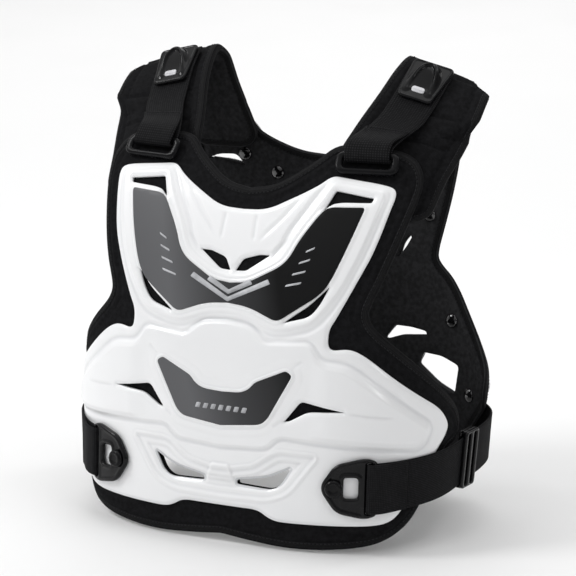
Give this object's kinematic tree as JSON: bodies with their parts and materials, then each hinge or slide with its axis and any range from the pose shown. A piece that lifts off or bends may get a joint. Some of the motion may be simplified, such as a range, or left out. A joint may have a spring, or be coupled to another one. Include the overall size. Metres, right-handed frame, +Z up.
{
  "type": "roost deflector",
  "caption": "Worn chest and back protector: vented plastic front shell on a foam liner, shoulder pads with webbing, elastic side straps with hook plates, and a foam back panel with a shell.",
  "frame": {"origin": "middle of the line across the wearer's shoulders that the shoulder pads sit on", "axes": "+Z up, the wearer faces -Y, +X towards the wearer's left side"},
  "size_m": [0.4374, 0.2798, 0.4708],
  "materials": {
    "white_plastic": "glossy moulded white",
    "grey_decal": "satin vinyl, dark grey fading across",
    "black_foam": "black perforated foam with bound edges",
    "black_webbing": "ribbed woven webbing and elastic",
    "black_plastic": "satin moulded black",
    "white_badge": "plain white pill"
  },
  "bodies": {
    "root": {"front_shell": "white_plastic", "upper_decal": "grey_decal", "lower_decal": "grey_decal", "front_liner": "black_foam", "back_liner": "black_foam", "back_shell": "white_plastic", "back_rivet_a_left": "black_plastic", "back_rivet_a_right": "black_plastic", "back_rivet_b_left": "black_plastic", "back_rivet_b_right": "black_plastic", "back_rivet_c_left": "black_plastic", "back_rivet_c_right": "black_plastic", "back_rivet_d_left": "black_plastic", "back_rivet_d_right": "black_plastic", "back_rivet_e_left": "black_plastic", "back_rivet_e_right": "black_plastic", "shoulder_pad_left": "black_foam", "shoulder_pad_right": "black_foam", "strap_ring_left": "black_plastic", "strap_ring_right": "black_plastic", "shoulder_strap_left": "black_webbing", "shoulder_strap_right": "black_webbing", "shoulder_adjuster_left": "black_plastic", "shoulder_adjuster_right": "black_plastic", "adjuster_badge_left": "white_badge", "adjuster_badge_right": "white_badge", "hook_plate_left": "black_plastic", "hook_plate_right": "black_plastic", "hook_stud_left": "black_plastic", "hook_stud_right": "black_plastic", "side_strap_left": "black_webbing", "side_strap_right": "black_webbing", "strap_slider_left": "black_plastic", "strap_slider_right": "black_plastic"}
  },
  "joints": []
}
